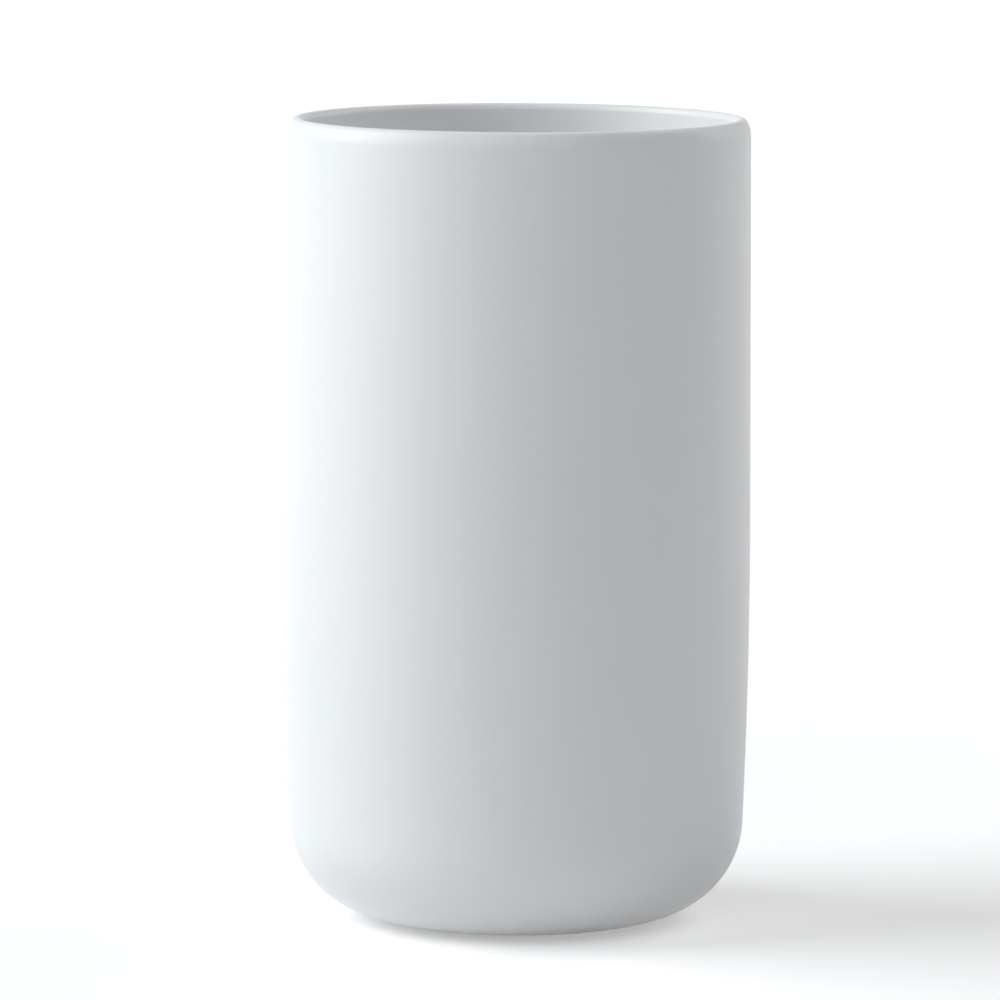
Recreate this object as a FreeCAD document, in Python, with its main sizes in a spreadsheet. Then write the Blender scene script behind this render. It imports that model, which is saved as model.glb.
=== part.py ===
import FreeCAD, Part
import math
import os

import Sketcher

# A pen holder cup in white glazed ceramic: a straight tumbler, open at the top, with a rounded
# lip and a rounded base. Every piece is turned about the Z axis, and the desk is the plane z = 0.
# All sizes are in millimetres.

doc = FreeCAD.newDocument("pen_holder_cup")


# ---------------------------------------------------------------------------------------------
# Driving dimensions
# ---------------------------------------------------------------------------------------------

SIZES = (
    ("cup_height", 120.0, "from the land of the foot ring to the crown of the lip"),
    ("belly_diameter", 69.8, "outside, at the widest line"),
    ("belly_rise", 54.35, "height of the widest line above the land"),
    ("wall_lean", 0.35, "how far the wall leans in from the belly to the lip"),
    ("sweep_radius", 980.0, "long arc that draws the wall in below the belly"),
    ("wall_thickness", 2.5, "with both coats of glaze"),
    ("floor_thickness", 4.2, "over the recess, with both coats of glaze"),
    ("inner_corner_radius", 10.0, "between the inner wall and the floor"),
    ("lip_shoulder_radius", 4.0, "outside of the lip"),
    ("lip_crown_radius", 1.05, "top and inside of the lip"),
    ("glaze_thickness", 0.25, "one fired coat"),
    ("foot_ring_diameter", 38.0, "outside of the bare ring"),
    ("foot_ring_width", 2.6, "from the outside of the ring to the recess"),
    ("foot_ring_drop", 0.35, "how far the land stands below the outer glaze"),
    ("foot_setback", 0.6, "from the ring out to the start of the base corner"),
    ("foot_edge_radius", 0.3, "both edges of the land"),
    ("recess_depth", 1.8, "bare clay, from the land"),
    ("recess_corner_radius", 0.6, "between the recess wall and its ceiling"),
    ("bare_band", 0.5, "recess wall left bare above the land"),
    ("film_thickness", 0.15, "adhesive between the recess and the pad"),
    ("film_inset", 0.5, "from the edge of the pad to the edge of the film"),
    ("pad_proud", 0.4, "how far the pad stands below the land"),
    ("pad_clearance", 1.0, "between the pad and the glazed recess wall"),
    ("pad_edge_radius", 0.4, "lower edge of the pad"),
)

sheet = doc.addObject("Spreadsheet::Sheet", "Sizes")
for row, (alias, size, note) in enumerate(SIZES, start=1):
    sheet.set(f"A{row}", alias)
    sheet.set(f"B{row}", str(size))
    sheet.setAlias(f"B{row}", alias)
    sheet.set(f"C{row}", note)
doc.recompute()

# Depth of a surface below the glaze: none on the glaze itself, one coat on the clay.
GLAZED = "0"
CLAY = "Sizes.glaze_thickness"

# Heights above the desk. The cup stands on its pad, so the foot ring is just clear of the desk.
DESK = "0"
LAND = "Sizes.pad_proud"
BASE = f"({LAND} + Sizes.foot_ring_drop)"
RECESS = f"({LAND} + Sizes.recess_depth)"
RECESS_GLAZE = f"({RECESS} - Sizes.glaze_thickness)"
PAD_TOP = f"({RECESS_GLAZE} - Sizes.film_thickness)"
FLOOR = f"({RECESS_GLAZE} + Sizes.floor_thickness)"
BELLY = f"({LAND} + Sizes.belly_rise)"
TOP = f"({LAND} + Sizes.cup_height)"
CROWN = f"({TOP} - Sizes.lip_crown_radius)"

# Radii from the axis.
BELLY_R = "(Sizes.belly_diameter / 2)"
RIM_R = f"({BELLY_R} - Sizes.wall_lean)"
CROWN_R = f"({RIM_R} - Sizes.wall_thickness + Sizes.lip_crown_radius)"
RING_R = "(Sizes.foot_ring_diameter / 2)"
CORNER_R = f"({RING_R} + Sizes.foot_setback)"
RECESS_R = f"({RING_R} - Sizes.foot_ring_width)"
PAD_R = f"({RECESS_R} - Sizes.glaze_thickness - Sizes.pad_clearance)"
FILM_R = f"({PAD_R} - Sizes.film_inset)"

# The centre of the sweep lies this far beyond the axis, at the height of the belly.
SWEEP_BACK = f"(Sizes.sweep_radius - {BELLY_R})"


def number(expression):
    """What an expression of the sizes comes to."""
    return float(sheet.evalExpression(expression))


# ---------------------------------------------------------------------------------------------
# Bodies, and sketches of half a section: x is the radius, y is the height
# ---------------------------------------------------------------------------------------------

START, END, CENTRE = range(1, 4)
LEVEL_AXIS, AXIS = range(-1, -3, -1)
ORIGIN = (LEVEL_AXIS, START)
DOWN, OUT, UP, IN = -math.pi / 2, 0.0, math.pi / 2, math.pi


def new_body(label):
    body = doc.addObject("PartDesign::Body", label)
    body.Label = label
    return body


def new_sketch(body, name, plane_role):
    sketch = body.newObject("Sketcher::SketchObject", name)
    plane = next(item for item in body.Origin.OriginFeatures if item.Role == plane_role)
    sketch.AttachmentSupport = [(plane, "")]
    sketch.MapMode = "FlatFace"
    return sketch


class Section:
    """Half a section of a turned piece. A line or an arc starts near its place, and is then
    held by its joints with its neighbours and by dimensions that follow the sizes."""

    def __init__(self, body):
        self.body = body
        self.sketch = new_sketch(body, f"{body.Label}_section", "XZ_Plane")

    def line(self, start, end):
        segment = Part.LineSegment(FreeCAD.Vector(*start), FreeCAD.Vector(*end))
        return self.sketch.addGeometry(segment, False)

    def arc(self, centre, radius, first_angle, last_angle):
        circle = Part.Circle(FreeCAD.Vector(*centre), FreeCAD.Vector(0, 0, 1), radius)
        return self.sketch.addGeometry(Part.ArcOfCircle(circle, first_angle, last_angle), False)

    def hold(self, kind, *where):
        """A rule without a size, such as Vertical or Coincident."""
        self.sketch.addConstraint(Sketcher.Constraint(kind, *where))

    def smooth(self, *ends):
        """Joins two ends so that one runs into the other without a corner."""
        self.hold("Tangent", *ends)

    def size(self, kind, *where_and_expression):
        """A dimension that follows the sizes."""
        *where, expression = where_and_expression
        rule = Sketcher.Constraint(kind, *where, number(expression))
        index = self.sketch.addConstraint(rule)
        self.sketch.setExpression(f"Constraints[{index}]", expression)

    def at_radius(self, shape, point, expression):
        self.size("DistanceX", *ORIGIN, shape, point, expression)

    def at_height(self, shape, point, expression):
        self.size("DistanceY", *ORIGIN, shape, point, expression)

    def level(self, start, end, height):
        """A level line between two radii, at a height that follows the sizes."""
        level_line = self.line((start, number(height)), (end, number(height)))
        self.hold("Horizontal", level_line)
        self.at_height(level_line, START, height)
        return level_line

    def turn(self):
        """Turns the section once about the Z axis."""
        turned = self.body.newObject("PartDesign::Revolution", f"{self.body.Label}_turned")
        turned.Profile = self.sketch
        turned.ReferenceAxis = (self.sketch, ["V_Axis"])
        turned.Angle = 360.0
        return turned


# ---------------------------------------------------------------------------------------------
# Profiles of the cup, shared by the clay and the glaze on it
# ---------------------------------------------------------------------------------------------

def lip_angle():
    """Direction, from the centre of the crown, where the crown meets the shoulder."""
    reach = number("Sizes.lip_shoulder_radius - Sizes.lip_crown_radius")
    across = number(f"Sizes.lip_shoulder_radius - ({RIM_R} - {CROWN_R})")
    return math.acos(across / reach)


def lean_angle():
    """Direction in which the straight wall faces, up from level."""
    return number("Sizes.wall_lean") / (number(TOP) - number(BELLY))


def wall(section, corner, corner_end_height, rim, sweep_radius, wall_end_height):
    """The sweep and the straight wall above a base corner. Gives back the straight wall."""
    back = number(SWEEP_BACK)
    belly = number(BELLY)
    bulge = number(sweep_radius)

    first_angle = math.asin((corner_end_height - belly) / bulge)
    sweep = section.arc((-back, belly), bulge, first_angle, lean_angle())
    section.size("DistanceX", sweep, CENTRE, *ORIGIN, SWEEP_BACK)
    section.at_height(sweep, CENTRE, BELLY)
    section.size("Radius", sweep, sweep_radius)
    section.smooth(corner, END, sweep, START)

    straight = section.line((bulge - back, belly), (number(rim), wall_end_height))
    section.smooth(sweep, END, straight, START)
    return straight


def outer_profile(section, depth):
    """From the foot ring, round the base corner and up the outside, to the top of the shoulder.

    Gives back the flat under the base and the shoulder, which ends where the crown starts.
    """
    base = f"({BASE} + {depth})"
    rim = f"({RIM_R} - {depth})"
    sweep_radius = f"(Sizes.sweep_radius - {depth})"
    shoulder_radius = f"(Sizes.lip_shoulder_radius - {depth})"

    flat = section.level(number(RING_R), number(CORNER_R), base)
    section.at_radius(flat, START, RING_R)
    section.at_radius(flat, END, CORNER_R)

    # The corner's radius isn't a size of its own: the corner starts level at the foot and ends
    # where it touches the sweep.
    rise = number(BELLY) - number(base)
    run = number(CORNER_R) + number(SWEEP_BACK)
    bulge = number(sweep_radius)
    corner_radius = (bulge ** 2 - rise ** 2 - run ** 2) / (2 * (bulge - rise))
    fall = math.atan2(rise - corner_radius, run)
    corner_height = number(base) + corner_radius
    corner = section.arc((number(CORNER_R), corner_height), corner_radius, DOWN, -fall)
    section.smooth(flat, END, corner, START)

    reach = number("Sizes.lip_shoulder_radius - Sizes.lip_crown_radius")
    shoulder_height = number(CROWN) - reach * math.sin(lip_angle())
    corner_end_height = corner_height - corner_radius * math.sin(fall)
    straight = wall(section, corner, corner_end_height, rim, sweep_radius, shoulder_height)

    # Carried on upward, the wall would meet the level of the crown at the rim's radius.
    mark = section.sketch.addGeometry(Part.Point(FreeCAD.Vector(number(rim), number(TOP))), True)
    section.at_radius(mark, START, rim)
    section.at_height(mark, START, TOP)
    section.hold("PointOnObject", mark, START, straight)

    round_radius = number(shoulder_radius)
    shoulder_centre = (number(rim) - round_radius, shoulder_height)
    shoulder = section.arc(shoulder_centre, round_radius, lean_angle(), lip_angle())
    section.size("Radius", shoulder, shoulder_radius)
    section.smooth(straight, END, shoulder, START)
    return flat, shoulder


def inner_profile(section, depth):
    """From the axis, over the floor and up the inside of the cup, to the crown.

    Gives back the floor and the straight wall, which ends where the crown does.
    """
    floor_height = f"({FLOOR} - {depth})"
    corner_radius = f"(Sizes.inner_corner_radius + {depth})"
    rim = f"({RIM_R} - Sizes.wall_thickness + {depth})"
    sweep_radius = f"(Sizes.sweep_radius - Sizes.wall_thickness + {depth})"

    corner_height = number(floor_height) + number(corner_radius)
    reach = number(sweep_radius) - number(corner_radius)
    fall = math.asin((number(BELLY) - corner_height) / reach)
    corner_start = reach * math.cos(fall) - number(SWEEP_BACK)

    floor = section.level(0, corner_start, floor_height)
    section.hold("PointOnObject", floor, START, AXIS)
    corner = section.arc((corner_start, corner_height), number(corner_radius), DOWN, -fall)
    section.size("Radius", corner, corner_radius)
    section.smooth(floor, END, corner, START)

    corner_end_height = corner_height - number(corner_radius) * math.sin(fall)
    straight = wall(section, corner, corner_end_height, rim, sweep_radius, number(CROWN))
    return floor, straight


def crown(section, depth, first_angle, last_angle):
    """The top of the lip, or half of it."""
    radius = f"(Sizes.lip_crown_radius - {depth})"
    top = section.arc((number(CROWN_R), number(CROWN)), number(radius), first_angle, last_angle)
    section.at_radius(top, CENTRE, CROWN_R)
    section.at_height(top, CENTRE, CROWN)
    section.size("Radius", top, radius)
    return top


def coat_edge(section, first, first_end, second, second_end):
    """The end of a coat: a straight edge through its thickness."""
    near = section.sketch.getPoint(first, first_end)
    far = section.sketch.getPoint(second, second_end)
    edge = section.line((near.x, near.y), (far.x, far.y))
    section.hold("Coincident", first, first_end, edge, START)
    section.hold("Coincident", second, second_end, edge, END)


def recess_profile(section, depth):
    """The wall and the ceiling of the recess in the foot, `depth` in from the bare clay.

    Gives back the wall, which starts at its lower end, and the ceiling, which ends on the axis.
    """
    wall_radius = f"({RECESS_R} - {depth})"
    ceiling_height = f"({RECESS} - {depth})"
    corner_radius = f"(Sizes.recess_corner_radius - {depth})"
    centre = (number(wall_radius) - number(corner_radius), number(ceiling_height) - number(corner_radius))

    side = section.line((number(wall_radius), number(LAND)), (number(wall_radius), centre[1]))
    section.hold("Vertical", side)
    section.at_radius(side, START, wall_radius)
    corner = section.arc(centre, number(corner_radius), OUT, UP)
    section.size("Radius", corner, corner_radius)
    section.smooth(side, END, corner, START)
    ceiling = section.level(centre[0], 0, ceiling_height)
    section.hold("PointOnObject", ceiling, END, AXIS)
    section.smooth(corner, END, ceiling, START)
    return side, ceiling


# ---------------------------------------------------------------------------------------------
# Clay body: the slip-cast wall, lip and floor, with the bare foot ring it is fired on
# ---------------------------------------------------------------------------------------------

ceramic_body = new_body("ceramic_body")
section = Section(ceramic_body)

flat, shoulder = outer_profile(section, CLAY)
floor, inner_wall = inner_profile(section, CLAY)
lip = crown(section, CLAY, lip_angle(), IN + lean_angle())
section.smooth(shoulder, END, lip, START)
section.smooth(inner_wall, END, lip, END)

ring_side_height = number(f"{LAND} + Sizes.foot_edge_radius")
ring_outside = number(RING_R)
ring_inside = number(RECESS_R)
edge_radius = number("Sizes.foot_edge_radius")

ring_side = section.line((ring_outside, number(f"{BASE} + {CLAY}")), (ring_outside, ring_side_height))
section.hold("Coincident", flat, START, ring_side, START)
section.hold("Vertical", ring_side)

outer_edge = section.arc((ring_outside - edge_radius, ring_side_height), edge_radius, DOWN, OUT)
section.size("Radius", outer_edge, "Sizes.foot_edge_radius")
section.smooth(ring_side, END, outer_edge, END)

land = section.level(ring_outside - edge_radius, ring_inside + edge_radius, LAND)
section.smooth(outer_edge, START, land, START)

inner_edge = section.arc((ring_inside + edge_radius, ring_side_height), edge_radius, IN, IN - DOWN)
section.size("Radius", inner_edge, "Sizes.foot_edge_radius")
section.smooth(land, END, inner_edge, END)

recess_side, recess_ceiling = recess_profile(section, GLAZED)
section.smooth(inner_edge, START, recess_side, START)
coat_edge(section, recess_ceiling, END, floor, START)

section.turn()


# ---------------------------------------------------------------------------------------------
# Outer glaze: from the foot ring, round the base and up the wall to the crown of the lip
# ---------------------------------------------------------------------------------------------

outer_glaze = new_body("outer_glaze")
section = Section(outer_glaze)

ends = []
for depth in (GLAZED, CLAY):
    flat, shoulder = outer_profile(section, depth)
    half_crown = crown(section, depth, lip_angle(), UP)
    section.smooth(shoulder, END, half_crown, START)
    section.hold("Vertical", half_crown, CENTRE, half_crown, END)
    ends.append((flat, half_crown))
(glazed_flat, glazed_crown), (clay_flat, clay_crown) = ends
coat_edge(section, glazed_flat, START, clay_flat, START)
coat_edge(section, glazed_crown, END, clay_crown, END)

section.turn()


# ---------------------------------------------------------------------------------------------
# Inner glaze: poured in, over the floor and up the wall to the crown of the lip
# ---------------------------------------------------------------------------------------------

inner_glaze = new_body("inner_glaze")
section = Section(inner_glaze)

ends = []
for depth in (GLAZED, CLAY):
    floor, inner_wall = inner_profile(section, depth)
    half_crown = crown(section, depth, UP, IN + lean_angle())
    section.smooth(inner_wall, END, half_crown, END)
    section.hold("Vertical", half_crown, CENTRE, half_crown, START)
    ends.append((floor, half_crown))
(glazed_floor, glazed_crown), (clay_floor, clay_crown) = ends
coat_edge(section, glazed_floor, START, clay_floor, START)
coat_edge(section, glazed_crown, START, clay_crown, START)

section.turn()


# ---------------------------------------------------------------------------------------------
# Base glaze: the coat in the recess, wiped off above the land
# ---------------------------------------------------------------------------------------------

base_glaze = new_body("base_glaze")
section = Section(base_glaze)

clay_side, clay_ceiling = recess_profile(section, GLAZED)
glazed_side, glazed_ceiling = recess_profile(section, CLAY)
for side in (clay_side, glazed_side):
    section.at_height(side, START, f"({LAND} + Sizes.bare_band)")
coat_edge(section, clay_side, START, glazed_side, START)
coat_edge(section, clay_ceiling, END, glazed_ceiling, END)

section.turn()


# ---------------------------------------------------------------------------------------------
# Discs in the recess: the adhesive film under the glazed ceiling, then the non-slip pad
# ---------------------------------------------------------------------------------------------

def disc(label, radius, bottom, top):
    """A body with one round disc between two heights."""
    body = new_body(label)
    outline = new_sketch(body, f"{label}_outline", "XY_Plane")
    outline.setExpression("AttachmentOffset.Base.z", bottom)
    circle = Part.Circle(FreeCAD.Vector(0, 0), FreeCAD.Vector(0, 0, 1), number(radius))
    shape = outline.addGeometry(circle, False)
    outline.addConstraint(Sketcher.Constraint("Coincident", shape, CENTRE, *ORIGIN))
    index = outline.addConstraint(Sketcher.Constraint("Radius", shape, number(radius)))
    outline.setExpression(f"Constraints[{index}]", radius)
    pad = body.newObject("PartDesign::Pad", f"{label}_disc")
    pad.Profile = outline
    pad.setExpression("Length", f"{top} - {bottom}")
    return body, pad


pad_adhesive, _ = disc("pad_adhesive", FILM_R, PAD_TOP, RECESS_GLAZE)

non_slip_pad, pad_disc = disc("non_slip_pad", PAD_R, DESK, PAD_TOP)
doc.recompute()

lowest = pad_disc.Shape.BoundBox.ZMin
lower_edges = [
    f"Edge{index}"
    for index, edge in enumerate(pad_disc.Shape.Edges, start=1)
    if edge.BoundBox.ZMax - lowest < 0.01
]
rounded = non_slip_pad.newObject("PartDesign::Fillet", "non_slip_pad_rounded")
rounded.Base = (pad_disc, lower_edges)
rounded.setExpression("Radius", "Sizes.pad_edge_radius")


# ---------------------------------------------------------------------------------------------
# Check every object, then write one file for each piece
# ---------------------------------------------------------------------------------------------

PIECES = (ceramic_body, outer_glaze, inner_glaze, base_glaze, pad_adhesive, non_slip_pad)

doc.recompute()

for item in doc.Objects:
    if "Invalid" in item.State or "Error" in item.State:
        raise RuntimeError(f"{item.Label} failed: {item.State}")
    if item.isDerivedFrom("Sketcher::SketchObject") and not item.FullyConstrained:
        raise RuntimeError(f"{item.Label} is not fully held by its dimensions")

for piece in PIECES:
    if piece.Shape.isNull() or not piece.Shape.isValid():
        raise RuntimeError(f"{piece.Label} has no valid shape")

os.makedirs("parts", exist_ok=True)
for piece in PIECES:
    piece.Shape.exportStep(f"parts/{piece.Label}.step")
    print(piece.Label, len(piece.Shape.Solids), round(piece.Shape.Volume, 1), piece.Shape.BoundBox)
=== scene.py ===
import math

import bpy
from mathutils import Matrix, Vector


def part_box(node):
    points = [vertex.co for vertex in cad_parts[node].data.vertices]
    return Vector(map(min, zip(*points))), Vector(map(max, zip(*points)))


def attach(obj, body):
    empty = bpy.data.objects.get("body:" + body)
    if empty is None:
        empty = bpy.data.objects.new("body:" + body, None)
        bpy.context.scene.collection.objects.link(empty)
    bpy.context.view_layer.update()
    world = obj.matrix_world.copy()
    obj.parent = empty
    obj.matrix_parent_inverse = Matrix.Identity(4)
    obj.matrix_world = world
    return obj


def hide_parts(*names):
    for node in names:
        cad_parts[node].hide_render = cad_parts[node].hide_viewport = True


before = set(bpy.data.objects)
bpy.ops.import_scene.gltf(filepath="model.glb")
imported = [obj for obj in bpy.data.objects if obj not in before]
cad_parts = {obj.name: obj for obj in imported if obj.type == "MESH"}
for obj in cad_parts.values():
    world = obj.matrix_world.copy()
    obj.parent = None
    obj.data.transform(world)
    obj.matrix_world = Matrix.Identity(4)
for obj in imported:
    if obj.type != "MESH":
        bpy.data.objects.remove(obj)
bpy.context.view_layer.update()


# ---------------------------------------------------------------------------------------------
# Clay body. The cup itself is slip-cast in one piece and bisque-fired. Glaze hides all of it but
# the foot ring, which is wiped bare so that it doesn't stick to the kiln shelf, and a thin band
# of clay just inside the ring. The sanded clay is a warm matte white with a fine grain.
# ---------------------------------------------------------------------------------------------

mm = 0.001
coat = 0.25 * mm

# Heights above the desk and radii that the solids give.
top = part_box("outer_glaze")[1].z
belly_radius = -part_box("outer_glaze")[0].x
glaze_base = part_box("outer_glaze")[0].z
floor_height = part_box("inner_glaze")[0].z + coat
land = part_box("ceramic_body")[0].z
recess_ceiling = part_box("base_glaze")[1].z
recess_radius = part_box("base_glaze")[1].x

wall_thickness = 2.5 * mm
wall_lean = 0.35 * mm
belly_rise = 54.35 * mm
sweep_radius = 980.0 * mm
shoulder_radius = 4.0 * mm
crown_radius = 1.05 * mm
inner_corner_radius = 10.0 * mm
ring_width = 2.6 * mm
ring_edge = 0.3 * mm
base_flat = 0.6 * mm
recess_corner = 0.6 * mm

belly_height = land + belly_rise
rim_radius = belly_radius - wall_lean
ring_radius = recess_radius + ring_width
base_corner_start = ring_radius + base_flat
sweep_centre = Vector((belly_radius - sweep_radius, belly_height))
crown_centre = Vector((rim_radius - wall_thickness + crown_radius, top - crown_radius))

round_steps = 240
weld_gap = 0.0005 * mm
sharp_edge = math.radians(35)


def start_section(name, radius, height):
    """Starts a piece in edit mode as one point of its section, a plane merged to its middle."""
    bpy.ops.object.select_all(action="DESELECT")
    bpy.ops.mesh.primitive_plane_add(size=coat, location=(radius, 0, height))
    bpy.ops.object.transform_apply(location=True)
    piece = bpy.context.object
    piece.name = name
    piece.data.name = name
    bpy.ops.object.mode_set(mode="EDIT")
    bpy.ops.mesh.merge(type="CENTER")
    return piece


def free_end(piece):
    """Where the section has got to, as a radius and a height."""
    piece.update_from_editmode()
    tip = next(vertex for vertex in piece.data.vertices if vertex.select)
    return Vector((tip.co.x, tip.co.z))


def draw_line(piece, radius, height, steps=1):
    """Draws the section straight on to a radius and a height."""
    way = (Vector((radius, height)) - free_end(piece)) / steps
    for _ in range(steps):
        bpy.ops.mesh.extrude_region_move(TRANSFORM_OT_translate={"value": (way.x, 0, way.y)})


def draw_arc(piece, centre, last_angle, steps):
    """Draws the section on round a centre, the short way, until it lies at last_angle from it."""
    spoke = free_end(piece) - centre
    turn = last_angle - math.atan2(spoke.y, spoke.x)
    turn = math.remainder(turn, 2 * math.pi)
    bpy.ops.mesh.spin(steps=steps, angle=turn, center=(centre.x, 0, centre.y), axis=(0, 1, 0))


def draw_cup(piece, depth):
    """Draws the cup's section from the foot ring, up the outside, over the lip and down the
    inside to the middle of the floor, `depth` under the surface of the glaze."""

    # The base corner starts level at the foot and runs tangent into the long sweep of the wall.
    base_rise = belly_height - glaze_base
    run = base_corner_start - sweep_centre.x
    base_corner_radius = sweep_radius ** 2 - base_rise ** 2 - run ** 2
    base_corner_radius /= 2 * (sweep_radius - base_rise)
    base_corner = Vector((base_corner_start, glaze_base + base_corner_radius))
    fall = (base_corner - sweep_centre).normalized()
    base_corner_end = math.atan2(fall.y, fall.x)

    # Above the belly the wall goes on straight, leans in a little, and would end at the rim's
    # radius. The shoulder's arc leads from it into the tight arc of the crown.
    to_rim = Vector((rim_radius, top)) - sweep_centre
    lean = math.atan2(to_rim.y, to_rim.x) - math.acos(sweep_radius / to_rim.length)
    outward = Vector((math.cos(lean), math.sin(lean)))
    upward = Vector((-outward.y, outward.x))
    crown_depth = (Vector((rim_radius, top)) - crown_centre).dot(outward)
    reach = shoulder_radius - crown_radius
    drop = math.sqrt(reach ** 2 - (shoulder_radius - crown_depth) ** 2)
    shoulder = crown_centre - outward * (shoulder_radius - crown_depth) - upward * drop
    shoulder_foot = shoulder + outward * (shoulder_radius - depth)
    lip_break = crown_centre - shoulder

    # Inside, the wall runs down straight from the crown, along a sweep that keeps its thickness,
    # and into the rounded corner of the floor.
    inner_sweep = sweep_radius - wall_thickness
    to_crown = crown_centre - sweep_centre
    inner_lean = math.atan2(to_crown.y, to_crown.x)
    inner_lean -= math.acos((inner_sweep + crown_radius) / to_crown.length)
    inward = -Vector((math.cos(inner_lean), math.sin(inner_lean)))
    inner_wall_foot = sweep_centre - inward * (inner_sweep + depth)
    inner_corner_height = floor_height + inner_corner_radius
    inner_reach = inner_sweep - inner_corner_radius
    inner_fall = math.asin((inner_corner_height - belly_height) / inner_reach)
    inner_corner_from_axis = sweep_centre.x + inner_reach * math.cos(inner_fall)
    inner_corner = Vector((inner_corner_from_axis, inner_corner_height))

    draw_line(piece, base_corner_start, glaze_base + depth)
    draw_arc(piece, base_corner, base_corner_end, steps=24)
    draw_arc(piece, sweep_centre, lean, steps=12)
    draw_line(piece, shoulder_foot.x, shoulder_foot.y, steps=12)
    draw_arc(piece, shoulder, math.atan2(lip_break.y, lip_break.x), steps=10)
    draw_arc(piece, crown_centre, math.pi + inner_lean, steps=18)
    draw_line(piece, inner_wall_foot.x, inner_wall_foot.y, steps=12)
    draw_arc(piece, sweep_centre, inner_fall, steps=12)
    draw_arc(piece, inner_corner, -math.pi / 2, steps=18)
    draw_line(piece, 0, floor_height - depth, steps=6)


def draw_recess(piece):
    """Draws on from the middle of the recess's ceiling, round its corner, to its wall."""
    corner_from_axis = recess_radius - recess_corner
    draw_line(piece, corner_from_axis, recess_ceiling, steps=6)
    draw_arc(piece, Vector((corner_from_axis, recess_ceiling - recess_corner)), 0, steps=6)


def turn_section(piece):
    """Turns the section once about the cup's axis and closes its seam and poles."""
    bpy.ops.mesh.select_all(action="SELECT")
    bpy.ops.mesh.spin(steps=round_steps, angle=2 * math.pi, center=(0, 0, 0), axis=(0, 0, 1))
    bpy.ops.mesh.select_all(action="SELECT")
    bpy.ops.mesh.remove_doubles(threshold=weld_gap)
    bpy.ops.mesh.normals_make_consistent(inside=False)
    bpy.ops.object.mode_set(mode="OBJECT")


clay_body = start_section("clay_body", ring_radius, glaze_base + coat)
draw_cup(clay_body, coat)
draw_line(clay_body, 0, recess_ceiling)
draw_recess(clay_body)
draw_line(clay_body, recess_radius, land + ring_edge, steps=3)
draw_arc(clay_body, Vector((recess_radius + ring_edge, land + ring_edge)), -math.pi / 2, steps=4)
draw_line(clay_body, ring_radius - ring_edge, land, steps=5)
draw_arc(clay_body, Vector((ring_radius - ring_edge, land + ring_edge)), 0, steps=4)
draw_line(clay_body, ring_radius, glaze_base + coat)
turn_section(clay_body)
bpy.ops.object.shade_smooth_by_angle(angle=sharp_edge)


def new_material(name):
    """A new node material. Returns it, its tree, its shader and the object's coordinates."""
    material = bpy.data.materials.new(name)
    material.use_nodes = True
    tree = material.node_tree
    shader = tree.nodes["Principled BSDF"]
    place = tree.nodes.new("ShaderNodeTexCoord").outputs["Object"]
    return material, tree, shader, place


def noise(tree, place, grain, detail=2.0, roughness=0.5):
    """Noise whose lumps are about `grain` metres across."""
    node = tree.nodes.new("ShaderNodeTexNoise")
    node.inputs["Scale"].default_value = 1 / grain
    node.inputs["Detail"].default_value = detail
    node.inputs["Roughness"].default_value = roughness
    tree.links.new(place, node.inputs["Vector"])
    return node.outputs["Fac"]


def spread(tree, value, low, high, new_low=0, new_high=1):
    """Stretches the part of a value between low and high over a new range."""
    node = tree.nodes.new("ShaderNodeMapRange")
    node.inputs["From Min"].default_value = low
    node.inputs["From Max"].default_value = high
    node.inputs["To Min"].default_value = new_low
    node.inputs["To Max"].default_value = new_high
    tree.links.new(value, node.inputs["Value"])
    return node.outputs["Result"]


def blend_colours(tree, share, first, second):
    """Two colours, or a socket and a colour, mixed by a share."""
    node = tree.nodes.new("ShaderNodeMix")
    node.data_type = "RGBA"
    tree.links.new(share, node.inputs["Factor"])
    for socket, colour in ((node.inputs[6], first), (node.inputs[7], second)):
        if isinstance(colour, bpy.types.NodeSocket):
            tree.links.new(colour, socket)
        else:
            socket.default_value = (*colour, 1)
    return node.outputs[2]


def bump(tree, height, depth, under=None):
    """Relief `depth` metres deep, on top of another relief if one is given."""
    node = tree.nodes.new("ShaderNodeBump")
    node.inputs["Strength"].default_value = 1.0
    node.inputs["Distance"].default_value = depth
    tree.links.new(height, node.inputs["Height"])
    if under:
        tree.links.new(under, node.inputs["Normal"])
    return node.outputs["Normal"]


bisque, tree, shader, place = new_material("bisque_clay")
patches = noise(tree, place, 6 * mm, 3.0)
grains = noise(tree, place, 0.25 * mm, 4.0, 0.7)
specks = noise(tree, place, 0.6 * mm, 1.0)
patchy = spread(tree, patches, 0.35, 0.65)
warm_clay = blend_colours(tree, patchy, (0.74, 0.69, 0.61), (0.80, 0.76, 0.69))
few_specks = spread(tree, specks, 0.72, 0.78, 0, 0.35)
speckled_clay = blend_colours(tree, few_specks, warm_clay, (0.45, 0.38, 0.30))
tree.links.new(speckled_clay, shader.inputs["Base Color"])
tree.links.new(spread(tree, grains, 0.3, 0.7, 0.82, 0.95), shader.inputs["Roughness"])
relief = bump(tree, patches, 0.02 * mm)
tree.links.new(bump(tree, grains, 0.03 * mm, relief), shader.inputs["Normal"])
clay_body.data.materials.append(bisque)

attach(clay_body, "root")
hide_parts("ceramic_body")


# ---------------------------------------------------------------------------------------------
# Glaze. One glassy white skin covers the cup, outside and in, from the wiped foot line over the
# lip to the middle of the floor. The two coats, sprayed outside and poured inside, melt into one
# in the kiln. It is a cool white, a quarter of a millimetre thick, with a soft satin gloss.
# ---------------------------------------------------------------------------------------------

glaze_coat = start_section("glaze_coat", ring_radius, glaze_base)
draw_cup(glaze_coat, 0)
turn_section(glaze_coat)


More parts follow.
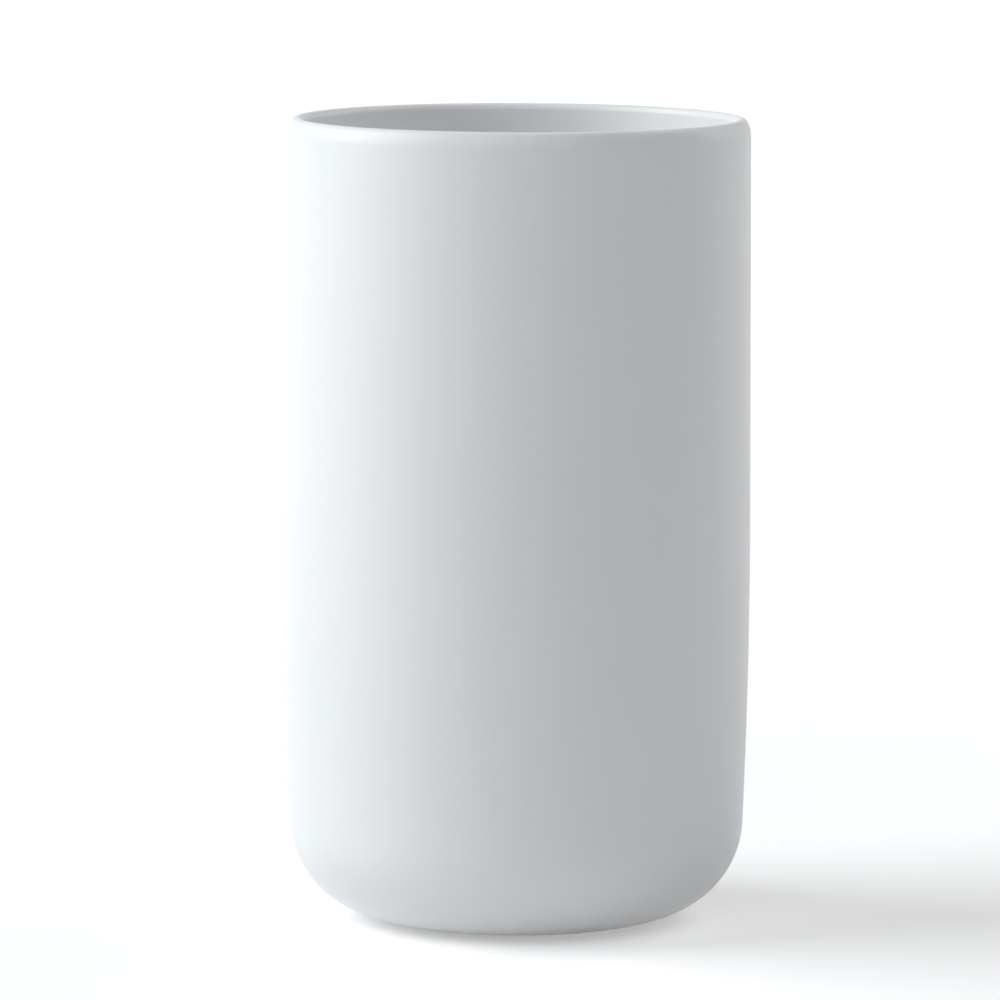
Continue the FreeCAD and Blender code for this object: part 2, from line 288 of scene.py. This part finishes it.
def thicken(piece, side):
    """Gives a turned skin the thickness of a coat, behind its faces (-1) or before them (1)."""
    skin = piece.modifiers.new("coat", "SOLIDIFY")
    skin.thickness = coat
    skin.offset = side
    skin.use_even_offset = True
    bpy.ops.object.modifier_apply(modifier=skin.name)


def roll_edge(piece, radius, height):
    """Rounds the edge of a coat of glaze where it was wiped back, as melting does."""
    wiped_edge = Vector((radius, height))
    nearness = 0.02 * mm
    roll = 0.6 * coat
    bpy.ops.object.mode_set(mode="EDIT")
    bpy.ops.mesh.select_mode(type="VERT")
    bpy.ops.mesh.select_all(action="DESELECT")
    bpy.ops.object.mode_set(mode="OBJECT")
    for vertex in piece.data.vertices:
        here = Vector((math.hypot(vertex.co.x, vertex.co.y), vertex.co.z))
        vertex.select = (here - wiped_edge).length < nearness
    bpy.ops.object.mode_set(mode="EDIT")
    bpy.ops.mesh.bevel(offset=roll, segments=4, affect="EDGES")
    bpy.ops.object.mode_set(mode="OBJECT")


thicken(glaze_coat, -1)
roll_edge(glaze_coat, ring_radius, glaze_base)
bpy.ops.object.shade_smooth_by_angle(angle=sharp_edge)

white_glaze, tree, shader, place = new_material("white_glaze")
cloud = noise(tree, place, 25 * mm, 2.0)
ripple = noise(tree, place, 9 * mm, 1.0)
peel = noise(tree, place, 1.6 * mm, 2.0, 0.4)
cloudy = spread(tree, cloud, 0.3, 0.7)
cool_white = blend_colours(tree, cloudy, (0.920, 0.930, 0.940), (0.930, 0.936, 0.942))
tree.links.new(cool_white, shader.inputs["Base Color"])
tree.links.new(spread(tree, ripple, 0.3, 0.7, 0.32, 0.36), shader.inputs["Roughness"])
shader.inputs["IOR"].default_value = 1.5
shader.inputs["Specular IOR Level"].default_value = 0.35
relief = bump(tree, ripple, 0.012 * mm)
tree.links.new(bump(tree, peel, 0.0025 * mm, relief), shader.inputs["Normal"])
glaze_coat.data.materials.append(white_glaze)

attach(glaze_coat, "root")
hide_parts("outer_glaze", "inner_glaze")


# ---------------------------------------------------------------------------------------------
# Base glaze. The recess inside the foot ring gets a coat of the same glaze, which is wiped back
# from the ring, so that a narrow band of the recess's wall stays bare.
# ---------------------------------------------------------------------------------------------

wiped_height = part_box("base_glaze")[0].z

recess_glaze = start_section("recess_glaze", 0, recess_ceiling)
draw_recess(recess_glaze)
draw_line(recess_glaze, recess_radius, wiped_height, steps=2)
turn_section(recess_glaze)

# The skin faces down into the recess, and its thickness goes that way.
bpy.ops.object.mode_set(mode="EDIT")
bpy.ops.mesh.select_all(action="SELECT")
bpy.ops.mesh.flip_normals()
bpy.ops.object.mode_set(mode="OBJECT")
thicken(recess_glaze, 1)
roll_edge(recess_glaze, recess_radius - coat, wiped_height)
bpy.ops.object.shade_smooth_by_angle(angle=sharp_edge)
recess_glaze.data.materials.append(white_glaze)

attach(recess_glaze, "root")
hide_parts("base_glaze")


# ---------------------------------------------------------------------------------------------
# Adhesive film. A thin die-cut disc of clear double-sided film holds the pad to the glazed
# recess. Its faint streaks come from the rollers that it was coated on.
# ---------------------------------------------------------------------------------------------

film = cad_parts["pad_adhesive"]
clear_film, tree, shader, place = new_material("adhesive_film")
streaks = noise(tree, place, 1.2 * mm, 3.0)
streaky = spread(tree, streaks, 0.3, 0.7)
film_tone = blend_colours(tree, streaky, (0.66, 0.66, 0.62), (0.74, 0.74, 0.70))
tree.links.new(film_tone, shader.inputs["Base Color"])
tree.links.new(spread(tree, streaks, 0.3, 0.7, 0.35, 0.5), shader.inputs["Roughness"])
tree.links.new(bump(tree, streaks, 0.01 * mm), shader.inputs["Normal"])
film.data.materials.clear()
film.data.materials.append(clear_film)


# ---------------------------------------------------------------------------------------------
# Non-slip pad. A soft disc of pale grey silicone, moulded with a fine grain and a rounded lower
# edge, stands a little below the foot ring, so that the cup grips the desk and doesn't mark it.
# ---------------------------------------------------------------------------------------------

pad_low, pad_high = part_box("non_slip_pad")
pad_radius = pad_high.x
pad_edge = 0.4 * mm

grip_pad = start_section("grip_pad", 0, pad_high.z)
draw_line(grip_pad, pad_radius, pad_high.z, steps=6)
draw_line(grip_pad, pad_radius, pad_low.z + pad_edge, steps=3)
draw_arc(grip_pad, Vector((pad_radius - pad_edge, pad_low.z + pad_edge)), -math.pi / 2, steps=5)
draw_line(grip_pad, 0, pad_low.z, steps=8)
turn_section(grip_pad)
bpy.ops.object.shade_smooth_by_angle(angle=sharp_edge)

silicone, tree, shader, place = new_material("pad_silicone")
mould_grain = noise(tree, place, 0.35 * mm, 2.0, 0.6)
dust = noise(tree, place, 3 * mm, 4.0, 0.6)
dusty = spread(tree, dust, 0.35, 0.7)
pale_grey = blend_colours(tree, dusty, (0.50, 0.51, 0.52), (0.57, 0.58, 0.59))
tree.links.new(pale_grey, shader.inputs["Base Color"])
tree.links.new(spread(tree, dust, 0.3, 0.7, 0.55, 0.72), shader.inputs["Roughness"])
tree.links.new(bump(tree, mould_grain, 0.03 * mm), shader.inputs["Normal"])
grip_pad.data.materials.append(silicone)

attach(grip_pad, "root")
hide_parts("non_slip_pad")


# ---------------------------------------------------------------------------------------------
# Studio floor. A wide sheet of white paper, lit together with the cup. It keeps the cup's soft
# shadow, and fades to pure white away from the cup.
# ---------------------------------------------------------------------------------------------

floor_width = 16.0
fade_reach = 2.5
glow_near, glow_far = 0.38, 0.9

bpy.ops.mesh.primitive_plane_add(size=floor_width, location=(0, 0, 0))
paper_floor = bpy.context.object
paper_floor.name = "paper_floor"

paper, tree, shader, place = new_material("white_paper")
fibre = noise(tree, place, 2 * mm, 3.0)
paper_white = blend_colours(tree, fibre, (0.86, 0.86, 0.86), (0.88, 0.88, 0.88))
tree.links.new(paper_white, shader.inputs["Base Color"])
shader.inputs["Roughness"].default_value = 0.9
shader.inputs["Specular IOR Level"].default_value = 0.2


def seen_directly(tree):
    """1 for rays from the camera and for mirror and glass rays, 0 for the light on the cup."""
    path = tree.nodes.new("ShaderNodeLightPath")
    total = path.outputs["Is Camera Ray"]
    for ray in ("Is Glossy Ray", "Is Transmission Ray"):
        either = tree.nodes.new("ShaderNodeMath")
        either.operation = "MAXIMUM"
        tree.links.new(total, either.inputs[0])
        tree.links.new(path.outputs[ray], either.inputs[1])
        total = either.outputs["Value"]
    return total


distance = tree.nodes.new("ShaderNodeVectorMath")
distance.operation = "LENGTH"
tree.links.new(place, distance.inputs[0])
fade = spread(tree, distance.outputs["Value"], 0, fade_reach, glow_near, glow_far)
glow = tree.nodes.new("ShaderNodeMath")
glow.operation = "MULTIPLY"
tree.links.new(seen_directly(tree), glow.inputs[0])
tree.links.new(fade, glow.inputs[1])
shader.inputs["Emission Color"].default_value = (1, 1, 1, 1)
tree.links.new(glow.outputs["Value"], shader.inputs["Emission Strength"])
paper_floor.data.materials.append(paper)


# ---------------------------------------------------------------------------------------------
# Grey card. A sheet of grey board hangs upright, out of the picture on the right. The glaze
# mirrors it as the darker band that ends in a soft upright line near the right side of the cup.
# The camera never shows it, so that it doesn't hide the cup from a camera on that side.
# ---------------------------------------------------------------------------------------------

card_near, card_far = Vector((433.0, -250.0)) * mm, Vector((485.0, 119.0)) * mm
card_foot = 25.0 * mm
card_height = 395.0 * mm
card_thickness = 1.5 * mm
card_middle = (card_near + card_far) / 2
card_run = card_far - card_near

bpy.ops.object.select_all(action="DESELECT")
bpy.ops.mesh.primitive_cube_add(
    size=1,
    location=(card_middle.x, card_middle.y, card_foot + card_height / 2),
    rotation=(0, 0, math.atan2(card_run.y, card_run.x)),
    scale=(card_run.length, card_thickness, card_height),
)
grey_card = bpy.context.object
grey_card.name = "grey_card"
grey_card.visible_camera = False
bpy.ops.object.transform_apply(location=True, rotation=True, scale=True)

board, tree, shader, place = new_material("grey_board")
fibre = noise(tree, place, 3 * mm, 3.0)
board_grey = blend_colours(tree, fibre, (0.43, 0.43, 0.43), (0.47, 0.47, 0.47))
tree.links.new(board_grey, shader.inputs["Base Color"])
shader.inputs["Roughness"].default_value = 0.9
grey_card.data.materials.append(board)


# ---------------------------------------------------------------------------------------------
# Studio light. A large soft window of light stands on the left, a third of the way up, and two
# weaker ones, in front and behind on the right, open the shadow side. White paper all round the
# set is what the glaze mirrors.
# ---------------------------------------------------------------------------------------------

box_distance = 2.2
box_width = 2.0

world = bpy.data.worlds.new("studio")
bpy.context.scene.world = world
world.use_nodes = True
tree = world.node_tree
sky = tree.nodes["Background"]
sky.inputs["Color"].default_value = (1, 1, 1, 1)
tree.links.new(seen_directly(tree), sky.inputs["Strength"])


def softbox(name, azimuth, elevation, watts, colour):
    """A soft square light that faces the cup. Azimuth 0 is behind the camera, 90 on the right."""
    lamp = bpy.data.lights.new(name, "AREA")
    lamp.shape = "SQUARE"
    lamp.size = box_width
    lamp.energy = watts
    lamp.color = colour
    around, up = math.radians(azimuth), math.radians(elevation)
    level = math.cos(up)
    away = Vector((math.sin(around) * level, -math.cos(around) * level, math.sin(up)))
    holder = bpy.data.objects.new(name, lamp)
    holder.location = Vector((0, 0, top / 2)) + away * box_distance
    holder.rotation_euler = away.to_track_quat("Z", "Y").to_euler()
    bpy.context.scene.collection.objects.link(holder)


softbox("key_left", -90, 32, 49.0, (0.931, 0.970, 0.999))
softbox("fill_front", 0, 32, 10.9, (0.981, 0.991, 1.0))
softbox("fill_back", 110, 35, 17.0, (1.0, 1.0, 1.0))


# ---------------------------------------------------------------------------------------------
# Camera. It stands a metre in front of the cup, above its rim, with a long lens, and looks a
# little down on it. The angles are in radians.
# ---------------------------------------------------------------------------------------------

camera_distance = 1000.0 * mm
camera_height = 186.8 * mm
look_down = 0.12316
look_left = 0.00263
tilt = 0.0037
lens_mm = 242.2
sensor_mm = 36.0

camera = bpy.data.objects.new("camera", bpy.data.cameras.new("camera"))
camera.data.lens = lens_mm
camera.data.sensor_width = sensor_mm
camera.data.clip_start = 10 * mm
camera.data.clip_end = 20
standpoint = Matrix.Translation((0, -camera_distance, camera_height))
sideways = Matrix.Rotation(look_left, 4, "Z")
downwards = Matrix.Rotation(math.pi / 2 - look_down, 4, "X")
camera.matrix_world = standpoint @ sideways @ downwards @ Matrix.Rotation(tilt, 4, "Z")
bpy.context.scene.collection.objects.link(camera)
bpy.context.scene.camera = camera

bpy.context.scene.view_settings.view_transform = "Standard"

bpy.context.view_layer.update()
